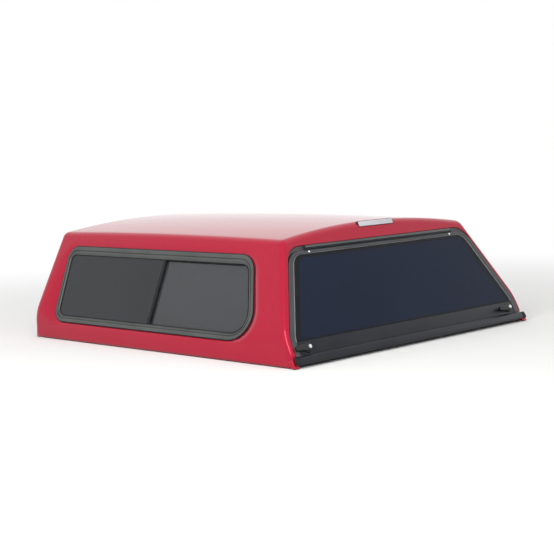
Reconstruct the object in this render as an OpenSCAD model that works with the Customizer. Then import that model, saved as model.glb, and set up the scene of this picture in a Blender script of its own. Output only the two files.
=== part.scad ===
// Moulded canopy for a pickup bed, with side and front windows
// and a framed glass rear door that lifts on two gas struts.
// X points to the right seen from behind, Y forward to the cab, Z up.
// The origin is the middle of the footprint, on the plane that the base stands on.

/* [Shell] */
// Length of the base rails, rear foot to front wall
base_len = 1860; // [1500:10:2400]
// Width over the base rails
base_width = 1736; // [1500:2:1800]
// Height of the roof's crown at either end
roof_z = 579; // [520:1:680]
// Extra height of the roof halfway along
roof_arch = 10; // [0:1:25]
// Radius of the roof from side to side
crown_r = 4500; // [3500:50:9000]
// Height at which the sides start to lean in
belt_z = 133; // [110:1:160]
// Radius of the bend where the sides start to lean in
belt_r = 200; // [80:5:240]
// Lean of the sides from upright, in degrees
side_lean = 27.4; // [20:0.1:30]
// Radius between side and roof
roof_edge_r = 45; // [35:1:70]
// Thickness of the moulding
wall = 6; // [4:0.5:8]
// Width of the inner flange along the base
flange_w = 55; // [40:1:80]
// Thickness of that flange
flange_t = 8; // [5:0.5:12]

/* [Ends] */
// Lean of the rear face from upright, in degrees
rear_tilt = 25.5; // [15:0.5:30]
// How far the rear face would reach behind the feet at the base plane
rear_set = 28; // [15:1:35]
// Lean of the front wall from upright, in degrees
front_tilt = 1.2; // [0:0.1:5]
// Radius round the rear face
rear_r = 24; // [12:1:30]
// Radius round the front wall
front_r = 38; // [20:1:42]
// Height of the foot at each rear corner, up the rear face
foot_h = 52; // [30:1:60]
// How far that foot stands out beside the shell
foot_out = 7; // [2:1:16]
// Radius of the foot's outer corner
foot_r = 14; // [6:1:20]

/* [Base gasket] */
// Thickness of the rubber strip under the base
gasket_t = 4; // [2:0.5:8]
// Width of that strip
gasket_w = 44; // [30:1:52]

/* [Side windows] */
// Lean of the window plane from upright, in degrees
win_lean = 23.6; // [20:0.1:26]
// How far the foot of the window plane lies inside the base's edge
win_set = 4; // [0:1:14]
// Height of the foot of the window plane
win_z = 88; // [80:1:110]
// Height of a window frame up its plane
win_h = 403; // [300:1:420]
// Gap between the foot of the plane and the window frame
win_foot = 8; // [4:1:16]
// Distance of the lower rear corner from the rear foot
win_rear = 243; // [200:1:420]
// Lean of the rear edge, in degrees
win_rear_lean = 18.3; // [0:0.1:26]
// Distance of the lower front corner from the front wall
win_front = 162; // [130:1:400]
// Lean of the front edge, in degrees
win_front_lean = 4.2; // [0:0.1:8]
// Radius of its lower rear corner
win_r_low_rear = 117; // [60:1:130]
// Radius of its lower front corner
win_r_low_front = 80; // [60:1:110]
// Radius of its upper front corner
win_r_top_front = 65; // [60:1:100]
// Radius of its upper rear corner
win_r_top_rear = 100; // [60:1:120]
// Visible width of a window frame along its lower edge
sash_w = 33; // [24:1:40]
// Its width along the upper edge
sash_top = 43; // [24:1:50]
// Its width along the rear edge
sash_rear = 31; // [24:1:40]
// Its width along the front edge
sash_front = 25; // [24:1:40]
// Thickness of a window frame's flange
sash_t = 7; // [4:0.5:10]
// Thickness of window glass
glass_t = 4; // [3:0.5:6]
// Width of the bar between the panes
divider_w = 23; // [16:1:50]
// Place of the bar, from the rear foot
divider_y = 973; // [700:1:1300]
// Gap between a window frame and the floor's edge of its recess
recess_gap = 4; // [2:1:10]
// How much wider the recess is at its mouth, at the front end
recess_front = 96; // [30:1:100]
// How much wider it is at its mouth elsewhere
recess_rim = 46; // [20:1:60]
// Height of the recess's mouth over the window plane
recess_open = 24; // [20:1:30]

/* [Front window] */
// Width of the front window frame
front_win_w = 1040; // [600:10:1100]
// Height of the front window frame
front_win_h = 330; // [200:5:340]
// Height of its middle
front_win_z = 300; // [250:5:320]
// Its corner radius
front_win_r = 55; // [30:1:80]

/* [Rear door] */
// Width of the shell's face beside the door
door_strip = 26; // [20:1:34]
// Gap around the door
door_gap = 4; // [3:0.5:6]
// Lower end of the door, up the rear face
door_low = 16; // [12:1:30]
// Top of the door opening, up the rear face
opening_top = 556; // [520:1:570]
// Radius of the opening's upper corners
opening_r = 112; // [80:1:130]
// Thickness of the door frame
door_t = 20; // [16:1:24]
// How far the door frame stands proud of the shell
door_proud = 1; // [0:0.5:4]
// Visible width of the door frame
frame_w = 27; // [20:1:36]
// Share of that width along its upper edge
frame_top = 0.5; // [0.4:0.05:1]
// Width of the ledge behind the glass
ledge_w = 30; // [20:1:40]
// Depth of the ledge
ledge_t = 11; // [3:0.5:12]
// Thickness of the door's glass
door_glass_t = 5; // [4:0.5:6]
// Height of the band that carries the handles
handle_rail_h = 63; // [50:1:80]
// Height of the rail along the door's lower edge
bottom_rail_h = 40; // [30:1:50]
// How far the lower rail stands proud
bottom_rail_proud = 14; // [8:1:20]
// Wall of the two lower rails
rail_wall = 3; // [2:0.5:4]
// How far the rubber cap on each end of the lower rail reaches past the door
cap_len = 28; // [16:1:29]
// Thickness of the rubber seal behind the door
seal_t = 5.3; // [3:0.1:8]
// Width of the ledge that the seal lies on
jamb_w = 26; // [20:1:34]

/* [Hinge] */
// Distance of the hinge line below the top of the opening
hinge_drop = 15; // [14:1:20]
// Radius of the hinge's bead
bead_r = 5; // [4:0.5:6]
// Clearance between bead and leaf
bead_gap = 0.3; // [0.2:0.05:0.5]
// Thickness of the hinge's walls
hinge_t = 3; // [2:0.5:4]
// Distance of each end of the hinge from the slanting side of the door
hinge_in = 110; // [100:5:300]

/* [Handles] */
// Distance of each handle's pivot from the end of the door
handle_in = 83; // [78:1:200]
// Length of a lever from its pivot
lever_len = 84; // [60:1:90]
// Radius of a handle's base
handle_base_r = 24; // [20:1:28]
// Radius of a handle's spindle
spindle_r = 6; // [4:0.5:8]
// Length of the cam inside
cam_len = 34; // [24:1:40]

/* [Gas struts] */
// Distance of the door's stud below the hinge line
stud_drop = 130; // [115:1:140]
// Depth of the door's stud behind the shell's rear face
stud_depth = 48; // [44:1:54]
// Place of the shell's stud, up the rear face
pivot_s = 180; // [170:1:200]
// Depth of the shell's stud behind the rear face
pivot_depth = 80; // [70:1:90]
// Radius of a strut's tube
tube_r = 9; // [7:0.5:10]
// Length of a strut's tube
tube_len = 165; // [140:1:180]
// Radius of a strut's rod
rod_r = 4; // [3:0.5:5]
// Radius of a ball stud
ball_r = 5; // [4:0.5:6]
// Radius of the socket around it
socket_r = 8.5; // [8:0.5:10]
// Half the width of a socket
socket_half = 7; // [6:0.5:8]
// Clearance between ball and socket
ball_gap = 0.5; // [0.2:0.1:0.8]
// Room between the door's stud and the socket beside it
stud_gap = 4; // [2:0.5:6]
// Distance of the door's stud from the ledge behind the glass
stud_in = 8; // [6:1:20]
// Distance of the shell's stud from the edge of the jamb
pivot_in = 12; // [10:1:20]
// Thickness of the two brackets
bracket_t = 3; // [2:0.5:5]
// Length of the shell's bracket
bracket_len = 36; // [24:1:50]

/* [Brake light] */
// Width of the high brake light
brake_w = 256; // [150:2:300]
// Height of the light
brake_h = 30; // [20:1:34]
// Depth of its pocket
brake_d = 14; // [10:1:16]

/* [Hidden] */
$fn = 32;
cut = 1;
fit = 0.3;
arc_steps = 7;
crown_steps = 12;
mid_rings = 5;
ring_steps = 4;

half_w = base_width / 2;
win_radii = [win_r_low_rear, win_r_low_front, win_r_top_front, win_r_top_rear];
nose_drop = 8;
door_nose = rear_set - (door_low + nose_drop) * sin(rear_tilt) + bottom_rail_proud * cos(rear_tilt);
front_flange = 6;
front_nose = front_flange - (front_win_z - front_win_h / 2) * tan(front_tilt);
rear_y = (door_nose - base_len - front_nose) / 2;
front_y = rear_y + base_len;
foot_z = rear_set / tan(rear_tilt);
crown_zc = roof_z - crown_r;
far = base_len + base_width;

// Points on rounded outlines
function unit(v) = v / norm(v);
function turn(a) = a > 180 ? a - 360 : (a < -180 ? a + 360 : a);
function fillet(p, a, b, r, n) =
    let(u = unit(a - p), v = unit(b - p), half = acos(u * v) / 2,
        c = p + unit(u + v) * r / sin(half), s = p + u * r / tan(half) - c, e = p + v * r / tan(half) - c,
        from = atan2(s[1], s[0]), by = turn(atan2(e[1], e[0]) - from))
    [for (k = [0:n]) c + r * [cos(from + by * k / n), sin(from + by * k / n)]];
function rounded(pts, radii, n = arc_steps) =
    [for (i = [0:len(pts) - 1]) each radii[i] <= 0 ? [pts[i]] :
        fillet(pts[i], pts[(i + len(pts) - 1) % len(pts)], pts[(i + 1) % len(pts)], radii[i], n)];
function swapped(pts) = [for (i = [len(pts) - 1:-1:0]) [-pts[i][0], pts[i][1]]];
function steps(n) = [for (k = [0:n]) k / n];

// The cross-section, moved inward by e
function belt_at(e) = belt_z - e * tan(side_lean / 2);
function side_x(z, e) = half_w - e - max(0, (z - belt_at(e)) * tan(side_lean));
function roof_corner(e) =
    let(t = tan(side_lean), k = half_w - e + belt_at(e) * t, b = k * t + crown_zc, q = 1 + t * t,
        z = (b + sqrt(b * b - q * (k * k + crown_zc * crown_zc - pow(crown_r - e, 2)))) / q)
    [k - z * t, z];
function crown_point(x, e) = [x, crown_zc + sqrt(pow(crown_r - e, 2) - x * x)];
function section(e, z0) =
    let(c = roof_corner(e), b = half_w - e,
        crown = [for (k = [1:crown_steps - 1]) crown_point(c[0] * (1 - 2 * k / crown_steps), e)],
        pts = concat([[b, z0], [b, foot_z], [b, belt_at(e)], c], crown,
                     [[-c[0], c[1]], [-b, belt_at(e)], [-b, foot_z], [-b, z0]]),
        radii = concat([0, 0, belt_r - e, roof_edge_r - e], [for (k = crown) 0],
                       [roof_edge_r - e, belt_r - e, 0, 0]))
    rounded(pts, radii);

// Rings from the rear face to the front wall: [inset, depth at the rear, depth at the front, share]
function end_ring(e, r, a) = [e + (r - e) * (1 - sin(a)), e + (r - e) * (1 - cos(a))];
function rings(e) = concat(
    [for (t = steps(ring_steps)) let(q = end_ring(e, rear_r, 90 * t)) [q[0], q[1], front_r, 0]],
    [for (k = [1:mid_rings]) [e, rear_r, front_r, k / (mid_rings + 1)]],
    [for (t = steps(ring_steps)) let(q = end_ring(e, front_r, 90 * (1 - t))) [q[0], rear_r, q[1], 1]]);
function rear_face(z) = rear_y + max(0, z * tan(rear_tilt) - rear_set);
function front_face(z) = front_y - z * tan(front_tilt);
function ring_point(p, g) =
    [p[0],
     (1 - g[3]) * (rear_face(p[1]) + g[1]) + g[3] * (front_face(p[1]) - g[2]),
     p[1] + roof_arch * 4 * g[3] * (1 - g[3]) * pow(p[1] / roof_z, 2)];
module skin(e, z0) {
    all = rings(e);
    n = len(section(0, z0));
    pts = [for (g = all) each [for (p = section(g[0], z0)) ring_point(p, g)]];
    last = (len(all) - 1) * n;
    sides = [for (i = [0:len(all) - 2]) each [for (j = [0:n - 1])
        let(k = (j + 1) % n) [i * n + j, i * n + k, (i + 1) * n + k, (i + 1) * n + j]]];
    top = (n - 1) / 2;
    caps = concat([for (j = [0:top - 2]) [j, n - 1 - j, n - 2 - j, j + 1]], [[top - 1, top + 1, top]]);
    polyhedron(points = pts, faces = concat(sides, caps,
        [for (f = caps) [for (k = [len(f) - 1:-1:0]) last + f[k]]]), convexity = 6);
}

// Planes that pieces are drawn on: x across, y up the plane, z outward
module on_rear(w = 0) translate([0, rear_y - rear_set, 0]) rotate([90 - rear_tilt, 0, 0]) translate([0, 0, w]) children();
module on_right(w = 0) translate([half_w - win_set, rear_y, win_z]) rotate([0, -win_lean, 0])
    rotate([90, 0, 90]) translate([0, 0, w]) children();
module on_side(side, w = 0) mirror([side < 0 ? 1 : 0, 0, 0]) on_right(w) children();
module on_front(w = 0) translate([0, front_y, 0]) rotate([90 - front_tilt, 0, 180]) translate([0, 0, w]) children();
module slab(pts, from, to) translate([0, 0, from]) linear_extrude(to - from) polygon(pts);
module ring(outer, inner, from, to) translate([0, 0, from]) linear_extrude(to - from) difference() {
    polygon(outer);
    polygon(inner);
}

// The door opening on the rear face, e inside the shell's edge
function rear_belt(e) = belt_at(e) / cos(rear_tilt);
function rear_x(s, e) = side_x(s * cos(rear_tilt), e);
function opening(e, low, drop = 0) =
    let(top = opening_top - drop, x = rear_x(top, e), b = half_w - e,
        r = max(20, opening_r - (e - door_strip)))
    rounded([[b, low], [b, rear_belt(e)], [x, top], [-x, top], [-b, rear_belt(e)], [-b, low]],
            [0, belt_r - e, r, r, belt_r - e, 0]);
door_e = door_strip + door_gap;
door_top = opening_top - hinge_drop - bead_r - bead_gap - hinge_t - 3;
face_in = 3;
function door_edge(inset, low = 0) = opening(door_e + inset, low, opening_top - door_top + inset * frame_top);
jamb_drop = opening_top - door_top + jamb_w - door_gap;
module above(s) intersection() {
    children();
    translate([-half_w, s, -far]) cube([base_width, far, 2 * far]);
}
door_in = door_proud - door_t;
jamb_face = door_in - seal_t - fit;
rail_top = door_low + bottom_rail_h;
band_top = rail_top + handle_rail_h;

// Side window outline, inset by [bottom, front, top, rear] from its frame's edge
function window(e) =
    let(low = win_foot + e[0], high = win_foot + win_h - e[2],
        rear = win_rear - win_foot * tan(win_rear_lean) + e[3] / cos(win_rear_lean),
        front = base_len - win_front - e[1] / cos(win_front_lean))
    rounded([[rear + low * tan(win_rear_lean), low], [front + (low - win_foot) * tan(win_front_lean), low],
             [front + (high - win_foot) * tan(win_front_lean), high], [rear + high * tan(win_rear_lean), high]],
            [for (k = [0:3]) max(4, win_radii[k] - (e[k] + e[(k + 3) % 4]) / 2)]);
function all_round(e) = [e, e, e, e];
sash = [sash_w, sash_front, sash_top, sash_rear];
function recess(grow) = window(-[recess_rim, recess_front, recess_rim, recess_rim] - all_round(recess_gap + grow));
module pocket(grow) hull() {
    slab(window(-all_round(recess_gap + grow)), -sash_t - grow, -sash_t - grow + 0.1);
    slab(recess(grow), recess_open, recess_open + 0.1);
}
function box(x0, y0, x1, y1, r = 0) = rounded([[x0, y0], [x1, y0], [x1, y1], [x0, y1]], [r, r, r, r]);
function front_window(e) = box(-front_win_w / 2 + e, front_win_z - front_win_h / 2 + e,
    front_win_w / 2 - e, front_win_z + front_win_h / 2 - e, front_win_r - e);
sash_lap = 12;
lip = 3;
sash_d = 16;

// The moulding before the windows, the door and the light are cut into it
module body() intersection() {
    skin(0, gasket_t);
    union() {
        difference() {
            skin(-cut, gasket_t - cut);
            skin(wall, gasket_t + flange_t);
            translate([-half_w + flange_w, rear_y - rear_set - cut, -cut])
                cube([base_width - 2 * flange_w, base_len + rear_set + cut - flange_w, gasket_t + flange_t + 2 * cut]);
        }
        for (side = [-1, 1]) on_side(side) pocket(wall);
        on_rear() slab(opening(door_strip - wall, 0, -wall), jamb_face - wall, cut);
        on_rear() translate([-brake_w / 2 - wall, brake_s - wall, -brake_d - wall])
            cube([brake_w + 2 * wall, brake_h + 3 * wall, brake_d + 2 * wall]);
    }
}
module foot(side) intersection() {
    mirror([side < 0 ? 1 : 0, 0, 0]) on_rear() slab(rounded([[half_w - 2 * door_strip, 0], [half_w + foot_out, 0],
        [half_w + foot_out, foot_h], [half_w - 2 * door_strip, foot_h]], [0, 0, foot_r, 0]), jamb_face, 0);
    translate([-far, -far, gasket_t]) cube(2 * far);
}
module shell() color("firebrick") difference() {
    union() {
        for (side = [-1, 1]) foot(side);
        body();
    }
    for (side = [-1, 1]) on_side(side) {
        pocket(0);
        slab(window(sash - all_round(sash_lap + fit)), -sash_t - 2 * wall - front_r, 0);
    }
    on_rear() slab(opening(door_strip, -far), jamb_face, far);
    on_rear() slab(opening(door_strip + jamb_w, -far, jamb_drop), jamb_face - 2 * wall - rear_r, far);
    on_rear() translate([-brake_w / 2, brake_s, -brake_d]) cube([brake_w, far, far]);
    on_front() slab(front_window(sash_w - sash_lap - fit), -sash_t - 3 * wall, far);
}
brake_s = (roof_corner(0)[1] + roof_z) / 2 / cos(rear_tilt) - 2;

module base_strip(x, y, w, l) color("#202020") translate([x, y, 0]) cube([w, l, gasket_t]);
strip_in = 3;
strip_rear = rear_y + rear_r;
strip_len = base_len - rear_r - gasket_w - front_r;
module left_gasket() base_strip(-half_w + strip_in, strip_rear, gasket_w, strip_len);
module right_gasket() base_strip(half_w - strip_in - gasket_w, strip_rear, gasket_w, strip_len);
module front_gasket() base_strip(-half_w + front_r, front_y - strip_in - gasket_w, base_width - 2 * front_r, gasket_w);

module window_frame() color("dimgray") {
    ring(window(all_round(0)), window(sash - all_round(sash_lap - lip)), -sash_t, 0);
    ring(window(sash - all_round(sash_lap)), window(sash), -sash_t - sash_d, -sash_t);
}
module inside_sash() intersection() {
    slab(window(sash + all_round(fit)), -far, far);
    children();
}
module window_divider() color("dimgray") inside_sash()
    translate([divider_y - divider_w / 2, 0, -sash_t - divider_d]) cube([divider_w, far, divider_d]);
module fixed_glass() color("#30343a") inside_sash()
    translate([divider_y + divider_w / 2 + fit, 0, -sash_t - glass_t]) cube([far, far, glass_t]);
module sliding_glass() color("#3a3f45") inside_sash()
    translate([divider_y + divider_w / 2 - far, 0, -sash_t - sash_d]) cube([far, far, glass_t]);
divider_d = 10;
module left_window_frame() on_side(-1) window_frame();
module right_window_frame() on_side(1) window_frame();
module left_window_divider() on_side(-1) window_divider();
module right_window_divider() on_side(1) window_divider();
module left_fixed_glass() on_side(-1) fixed_glass();
module right_fixed_glass() on_side(1) fixed_glass();
module left_sliding_glass() on_side(-1) sliding_glass();
module right_sliding_glass() on_side(1) sliding_glass();

front_lap = 20;
module front_window_frame() color("dimgray") on_front() {
    ring(front_window(0), front_window(sash_w - sash_lap + lip), 0, front_flange);
    ring(front_window(sash_w - sash_lap), front_window(sash_w), -sash_d, 0);
}
module front_fixed_glass() color("#30343a") on_front() intersection() {
    slab(front_window(sash_w + fit), -glass_t, 0);
    translate([-front_lap, 0, -far]) cube(2 * far);
}
module front_sliding_glass() color("#3a3f45") on_front() intersection() {
    slab(front_window(sash_w + fit), -sash_d, glass_t - sash_d);
    translate([front_lap - far, 0, -far]) cube([far, far, 2 * far]);
}

module door_seal() color("#181818") on_rear() above(rail_top) ring(
    opening(door_e, 0, opening_top - door_top + 1),
    opening(door_strip + jamb_w - door_gap, -cut, jamb_drop - door_gap), jamb_face, jamb_face + seal_t);

hinge_s = opening_top - hinge_drop;
hinge_w = door_proud + 2;
hinge_half = rear_x(hinge_s, door_e) - hinge_in;
leaf_r = bead_r + bead_gap;
web_in = 4;
leaf_room = 3;
// The leaf wraps the bead on its inner side and leaves room for the rail's web as the door lifts
leaf_open = [-50, 98];
module sector(r, from, to) polygon(concat([[0, 0]],
    [for (t = steps(arc_steps * 2)) r * [cos(from + (to - from) * t), sin(from + (to - from) * t)]]));
module along_hinge() on_rear(hinge_w) translate([-hinge_half, hinge_s, 0]) rotate([90, 0, 90])
    linear_extrude(2 * hinge_half) children();
module hinge_rail() color("#2a2c2e") along_hinge() union() {
    circle(bead_r);
    translate([0, -hinge_t / 2]) square([hinge_drop - web_in, hinge_t]);
    translate([hinge_drop - web_in - hinge_t, -hinge_w + jamb_face + fit]) square([hinge_t, hinge_w - jamb_face]);
}
module door_hinge_leaf() color("#2a2c2e") along_hinge() union() {
    difference() {
        circle(leaf_r + hinge_t);
        circle(leaf_r);
        sector(3 * leaf_r, leaf_open[0], leaf_open[1]);
    }
    translate([-leaf_r - leaf_room - hinge_t, -hinge_w + door_in]) square([leaf_room + hinge_t - 0.5, hinge_w - door_in - 2]);
}

module door_frame() color("#33363a") on_rear() {
    above(rail_top) ring(door_edge(0), door_edge(frame_w, -cut), door_in, door_proud);
    above(band_top) ring(door_edge(frame_w - cut), door_edge(frame_w + ledge_w, -cut), door_in, door_in + ledge_t);
}
glass_back = door_in + ledge_t;
module door_glass() color("#0c1830") on_rear() above(band_top + fit)
    slab(door_edge(frame_w + fit), glass_back, glass_back + door_glass_t);
module handle_rail() color("#25282b") on_rear() difference() {
    intersection() {
        slab(door_edge(frame_w), door_in, door_proud - face_in);
        slab(box(-half_w, rail_top, half_w, band_top), -far, far);
    }
    slab(box(-half_w, rail_top + rail_wall, half_w, band_top - rail_wall), -far, door_proud - face_in - rail_wall);
    for (side = [-1, 1]) translate([side * handle_x, handle_s, -far]) cylinder(r = spindle_r + fit, h = 2 * far);
}
handle_s = rail_top + handle_rail_h / 2;
door_half = half_w - door_e;
handle_x = door_half - handle_in;
module rail_profile(e, half) translate([-half, 0, 0]) rotate([90, 0, 90]) linear_extrude(2 * half) polygon(rounded(
    [[door_low + e, door_in + e], [rail_top - e, door_in + e], [rail_top - e, door_proud - e / 2],
     [rail_top - 10 - e, bottom_rail_proud - 4 - e], [door_low + nose_drop + e / 2, bottom_rail_proud - e],
     [door_low + e, bottom_rail_proud - 6 - e / 2]], [2, 1, 2, 8 - e, 6 - e, 4 - e]));
module bottom_rail() color("#2b2e31") on_rear() difference() {
    rail_profile(0, door_half);
    rail_profile(rail_wall, half_w);
}
module end_cap(side) color("#1a1a1a") on_rear() intersection() {
    rail_profile(0, door_half + cap_len);
    translate([side * (door_half + cap_len / 2) - cap_len / 2, 0, door_proud + 4]) cube([cap_len, far, far]);
}
module left_end_cap() end_cap(-1);
module right_end_cap() end_cap(1);

module at_handle(side, w = 0) on_rear() translate([side * handle_x, handle_s, w]) children();
base_h = 9;
base_taper = 3;
module handle_base(side) color("#1c1e20") at_handle(side, door_proud - face_in) difference() {
    cylinder(r1 = handle_base_r, r2 = handle_base_r - base_taper, h = base_h);
    translate([0, 0, -cut]) cylinder(r = spindle_r + fit, h = base_h + 2 * cut);
}
lever_z = door_proud - face_in + base_h + fit;
lever_t = 11;
lever_half = 16;
lock_r = 9;
lock_seat = 5;
module lever(side) color("#1c1e20") {
    at_handle(side, lever_z) difference() {
        linear_extrude(lever_t) polygon(rounded(
            [[lever_half, lever_half], [8 - lever_len, 12], [-lever_len, 4], [-lever_len, -10], [lever_half, -lever_half]],
            [15, 8, 3, 6, 15]));
        translate([0, 0, lock_seat]) cylinder(r = lock_r + fit, h = far);
    }
    at_handle(side, cam_w + fit) cylinder(r = spindle_r, h = lever_z - cam_w - fit);
}
cam_w = door_in - 6;
cam_t = 3;
cam_half = 10;
module lock_cylinder(side) color("silver") at_handle(side, lever_z + lock_seat) difference() {
    cylinder(r = lock_r, h = 9);
    translate([-1, -4, 8]) cube([2, 8, far]);
}
module latch_cam(side) color("#8c8f92") at_handle(side, cam_w - cam_t) linear_extrude(cam_t) polygon(rounded(
    [[cam_half, -cam_half], [cam_half, cam_len], [-cam_half, cam_len], [-cam_half, -cam_half]], [8, 6, 6, 8]));
module left_handle_base() handle_base(-1);
module right_handle_base() handle_base(1);
module left_lever() lever(-1);
module right_lever() lever(1);
module left_lock_cylinder() lock_cylinder(-1);
module right_lock_cylinder() lock_cylinder(1);
module left_latch_cam() latch_cam(-1);
module right_latch_cam() latch_cam(1);

// Gas struts, drawn on the right and mirrored to the left
stud_s = hinge_s - stud_drop;
stud_x = rear_x(stud_s, door_e + frame_w + ledge_w) - stud_in;
pivot_x = rear_x(pivot_s, door_strip + jamb_w) - pivot_in;
stud_at = [stud_x, stud_s, -stud_depth];
pivot_at = [pivot_x, pivot_s, -pivot_depth];
strut_dir = unit(stud_at - pivot_at);
strut_len = norm(stud_at - pivot_at);
neck = 14;
neck_r = 5;
stud_r = 3;
stud_reach = pivot_in + 8;
door_reach = 10;
shell_leg = 22;
door_leg = 14;
door_plate = 32;
module mirrored(side) mirror([side < 0 ? 1 : 0, 0, 0]) on_rear() children();
module along(from, dir) translate(from) rotate([0, acos(dir[2]), atan2(dir[1], dir[0])]) children();
module ball_stud(at, reach) translate(at) rotate([0, 90, 0]) {
    sphere(r = ball_r);
    cylinder(r = stud_r, h = reach);
}
// A plate behind the face at w, with one leg standing down to the stud
module angle_plate(x, mid, len, low, w, back, leg) {
    translate([x, mid - len / 2, low]) cube([bracket_t, len, w - low]);
    translate([x - back, mid - len / 2, w - bracket_t]) cube([leg + back, len, bracket_t]);
}
module strut_bracket(side) color("#9a9c9e") mirrored(side) {
    ball_stud(pivot_at, stud_reach);
    angle_plate(pivot_x + stud_reach, pivot_s, bracket_len, -pivot_depth - neck, jamb_face - wall, 4, shell_leg - 4);
}
module strut_stud(side) color("#9a9c9e") mirrored(side) {
    ball_stud(stud_at + [socket_half + stud_gap + ball_r, 0, 0], door_reach);
    angle_plate(stud_x + socket_half + stud_gap + ball_r + door_reach - 1, stud_s, door_plate,
        -stud_depth - door_reach, door_in, 0, door_leg);
}
module socket(at, dir, len) {
    difference() {
        union() {
            translate(at) rotate([0, 90, 0]) cylinder(r = socket_r, h = 2 * socket_half, center = true);
            along(at, dir) cylinder(r = neck_r, h = len);
        }
        children();
    }
}
module strut_tube(side) color("#1b1c1e") mirrored(side) {
    socket(pivot_at, strut_dir, neck + 8) translate(pivot_at) rotate([0, 90, 0]) {
        sphere(r = ball_r + ball_gap);
        cylinder(r1 = stud_r + 1.2, r2 = socket_r - 0.4, h = socket_half + cut);
    }
    difference() {
        along(pivot_at + strut_dir * (neck + 6), strut_dir) cylinder(r = tube_r, h = tube_len);
        along(pivot_at + strut_dir * (neck + 12), strut_dir) cylinder(r = rod_r + fit / 2, h = far);
    }
}
rod_from = neck + 40;
module strut_rod(side) color("#b8babc") mirrored(side) {
    socket(stud_at, -strut_dir, neck + 6);
    along(pivot_at + strut_dir * rod_from, strut_dir) cylinder(r = rod_r, h = strut_len - neck - rod_from);
}
module left_strut_bracket() strut_bracket(-1);
module right_strut_bracket() strut_bracket(1);
module left_strut_stud() strut_stud(-1);
module right_strut_stud() strut_stud(1);
module left_strut_tube() strut_tube(-1);
module right_strut_tube() strut_tube(1);
module left_strut_rod() strut_rod(-1);
module right_strut_rod() strut_rod(1);

module brake_light_housing() color("#d8dade") on_rear() intersection() {
    translate([-brake_w / 2 + fit, brake_s + fit, -brake_d + fit]) cube([brake_w - 2 * fit, brake_h, brake_d - 6]);
    slab(box(-far, 0, far, brake_s + brake_h), -far, far);
}
module brake_light_lens() color("#e8c8c8") on_rear()
    translate([-brake_w / 2 + fit, brake_s + fit, -5.7]) cube([brake_w - 2 * fit, brake_h, 9]);

shell();
left_gasket();
right_gasket();
front_gasket();
left_window_frame();
right_window_frame();
left_window_divider();
right_window_divider();
left_fixed_glass();
right_fixed_glass();
left_sliding_glass();
right_sliding_glass();
front_window_frame();
front_fixed_glass();
front_sliding_glass();
door_seal();
hinge_rail();
brake_light_housing();
brake_light_lens();
left_strut_bracket();
right_strut_bracket();
door_frame();
door_glass();
handle_rail();
bottom_rail();
left_end_cap();
right_end_cap();
door_hinge_leaf();
left_strut_stud();
right_strut_stud();
left_handle_base();
right_handle_base();
left_lever();
right_lever();
left_lock_cylinder();
right_lock_cylinder();
left_latch_cam();
right_latch_cam();
left_strut_tube();
right_strut_tube();
left_strut_rod();
right_strut_rod();
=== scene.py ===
from math import cos, pi, radians, sin, sqrt, tan

import bmesh
import bpy
import numpy as np
from mathutils import Matrix, Vector


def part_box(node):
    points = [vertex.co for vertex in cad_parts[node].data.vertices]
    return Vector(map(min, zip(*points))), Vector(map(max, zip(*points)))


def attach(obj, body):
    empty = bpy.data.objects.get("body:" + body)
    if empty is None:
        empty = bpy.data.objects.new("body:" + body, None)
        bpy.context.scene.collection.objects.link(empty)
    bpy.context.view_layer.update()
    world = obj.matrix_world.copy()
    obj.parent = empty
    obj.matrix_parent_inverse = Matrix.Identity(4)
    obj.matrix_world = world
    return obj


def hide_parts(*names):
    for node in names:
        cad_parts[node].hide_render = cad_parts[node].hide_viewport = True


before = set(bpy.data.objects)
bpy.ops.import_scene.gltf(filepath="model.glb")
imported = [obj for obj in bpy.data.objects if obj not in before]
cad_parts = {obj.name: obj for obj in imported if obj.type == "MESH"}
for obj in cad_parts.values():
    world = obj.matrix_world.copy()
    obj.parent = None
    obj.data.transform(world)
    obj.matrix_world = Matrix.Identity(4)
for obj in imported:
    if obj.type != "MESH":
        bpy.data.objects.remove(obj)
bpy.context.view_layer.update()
scene = bpy.context.scene

# The moulding, in metres and radians, with the values of the part's source
canopy = {
    "halfWidth": 0.868, "length": 1.860, "roof": 0.579, "arch": 0.010, "crown": 4.5,
    "belt": 0.133, "beltRadius": 0.200, "lean": radians(27.4), "edgeRadius": 0.045,
    "rearTilt": radians(25.5), "rearSet": 0.028, "frontTilt": radians(1.2),
    "rearRadius": 0.024, "frontRadius": 0.038, "base": 0.004, "wall": 0.006,
    "footSteps": 4, "beltSteps": 18, "sideSteps": 28, "cornerSteps": 9, "crownSteps": 20,
}
halfWidth, roof, lean = canopy["halfWidth"], canopy["roof"], canopy["lean"]
rearTilt, rearSet, base = canopy["rearTilt"], canopy["rearSet"], canopy["base"]
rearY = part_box("left_gasket")[0].y - canopy["rearRadius"]
frontY = rearY + canopy["length"]
footZ = rearSet / tan(rearTilt)  # above it the rear face leans forward


def spread(start, end, steps):
    return [start + (end - start) * k / steps for k in range(steps + 1)]


def arcPoints(corner, before, after, radius, steps):
    u, v = (before - corner).normalized(), (after - corner).normalized()
    half = u.angle(v) / 2
    centre = corner + (u + v).normalized() * radius / sin(half)
    start, end = ((corner + d * radius / tan(half) - centre).normalized() for d in (u, v))
    return [centre + start.slerp(end, k / steps).normalized() * radius for k in range(steps + 1)]


def roundedLoop(points, radii, steps=8):
    corners, loop = [Vector(p) for p in points], []
    for k, corner in enumerate(corners):
        if radii[k] > 0:
            loop += arcPoints(corner, corners[k - 1], corners[(k + 1) % len(corners)], radii[k], steps)
        else:
            loop.append(corner)
    return loop


def beltAt(inset):
    return canopy["belt"] - inset * tan(lean / 2)


def crownZ(x, inset):
    return roof - canopy["crown"] + sqrt((canopy["crown"] - inset) ** 2 - x * x)


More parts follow.
